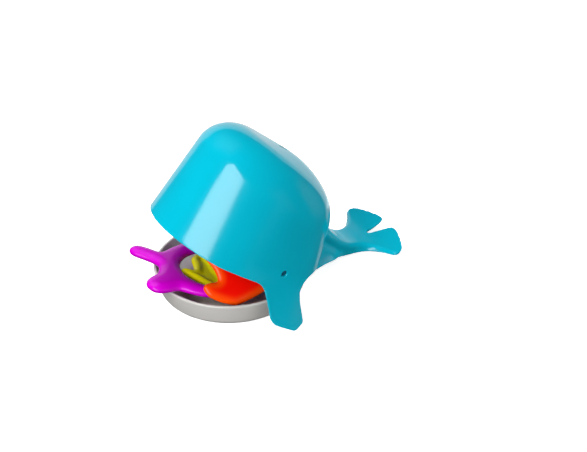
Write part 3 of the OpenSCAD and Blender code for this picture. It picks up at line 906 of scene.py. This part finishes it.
def acrylic():
    """Cast acrylic: an even, pale white that glows from below, with a faint uneven gloss."""
    material, tree = new_material("white_acrylic")
    place = add_node(tree, "ShaderNodeTexCoord", {}).outputs["Object"]
    cloud = add_node(tree, "ShaderNodeTexNoise", {"Vector": place, "Scale": 1 / (SHEET_CLOUD_MM * MM)})
    gloss = add_node(tree, "ShaderNodeMapRange", {
        "Value": cloud.outputs["Fac"], "To Min": SHEET_SMOOTH, "To Max": SHEET_ROUGH,
    })
    away = add_node(tree, "ShaderNodeVectorMath", {0: place}, operation="LENGTH")
    glow = add_node(tree, "ShaderNodeMapRange", {
        "Value": away.outputs["Value"], "From Min": GLOW_FROM * MM, "From Max": GLOW_TO * MM,
        "To Min": GLOW_NEAR, "To Max": GLOW_FAR,
    }, interpolation_type="SMOOTHSTEP")
    lit_sheet = add_node(tree, "ShaderNodeBsdfPrincipled", {
        "Base Color": linear("f4f4f4"), "Roughness": gloss.outputs["Result"], "Specular IOR Level": 0.1,
        "Emission Color": linear("ffffff"), "Emission Strength": glow.outputs["Result"],
    })
    add_node(tree, "ShaderNodeOutputMaterial", {"Surface": lit_sheet.outputs["BSDF"]})
    return material


floor_corners = [(x * FLOOR_HALF, y * FLOOR_HALF, 0) for x, y in ((-1, -1), (1, -1), (1, 1), (-1, 1))]
floor = new_piece("floor", floor_corners, [(0, 1, 2, 3)])
cove = [
    (COVE_FROM + COVE_R * math.sin(a), COVE_R * (1 - math.cos(a)) - COVE_SINK)
    for a in np.linspace(0, math.pi / 2, 13)
]
cove.append((COVE_FROM + COVE_R, BACKDROP_H))
backdrop = turned_piece("backdrop", cove, 96, upright)
backdrop.data.shade_smooth()
backdrop.visible_shadow = False
sheet = acrylic()
for stage in (floor, backdrop):
    stage.data.materials.append(sheet)
    stage.visible_glossy = False
    stage.visible_diffuse = False
print("floor is", 2 * FLOOR_HALF, "mm wide and the backdrop", BACKDROP_H, "mm high")

# %% [markdown]
# A glossy cup shows its lamps. The long highlight down the forehead is the mirror image of one long soft box
# at the front left; its place, size and roll follow from mirroring the view at the highlight's edges. A
# low box behind the toy gives the crown its pale edge, and one below the sheet's level stands for the
# lit sheet, which shows as a thin rim where the eye only grazes the head; these two only show in mirror
# images. Three more boxes only fill the shadows and leave no mirror image. Every box stands about a metre
# off, so places and sizes of lights are in metres.

# %% Lights
WORLD_STRENGTH = 0.06
AIM = Vector((0.0, -0.03, 0.09))
scene.view_settings.view_transform = "Standard"
world = bpy.data.worlds.new("studio")
world.use_nodes = True
plug(world.node_tree, world.node_tree.nodes["Background"], {
    "Color": linear("ffffff"), "Strength": WORLD_STRENGTH,
})
scene.world = world


def soft_box(name, direction, roll, shift, size, radiance):
    """A soft box one metre off, rolled and shifted in its plane; radiance is how bright it looks."""
    light = bpy.data.lights.new(name, "AREA")
    light.shape = "RECTANGLE"
    light.size, light.size_y = size
    light.energy = radiance * size[0] * size[1] * math.pi
    box = bpy.data.objects.new(name, light)
    back = Vector(direction).normalized()
    right = Vector((0, 0, 1)).cross(back).normalized()
    up = back.cross(right)
    turn = math.radians(roll)
    along = right * math.cos(turn) - up * math.sin(turn)
    across = right * math.sin(turn) + up * math.cos(turn)
    place = AIM + back + along * shift[0] + across * shift[1]
    box.matrix_world = Matrix.Translation(place) @ Matrix((along, across, back)).transposed().to_4x4()
    box.visible_camera = False
    scene.collection.objects.link(box)
    return box


soft_box("key", (-0.639, -0.586, 0.5), roll=56, shift=(-0.007, -0.194), size=(1.0, 0.415), radiance=9.4)
for name, direction, size, radiance in (
    ("behind", (0.45, 0.9, -0.05), (1.7, 1.0), 0.8),
    ("ground", (0.62, 0.6, -0.6), (0.9, 0.4), 0.5),
):
    mirrored = soft_box(name, direction, 0, (0, 0), size, radiance)
    mirrored.visible_diffuse = False
for name, direction, width, radiance in (
    ("overhead", (-0.15, 0.5, 0.85), 0.8, 4.5),
    ("front", (0.35, -0.93, 0.05), 0.6, 2.0),
    ("right", (0.97, -0.05, -0.1), 0.6, 9.0),
):
    fill = soft_box(name, direction, 0, (0, 0), (width, width), radiance)
    fill.visible_glossy = False
print("lights:", [light.name for light in bpy.data.lights])
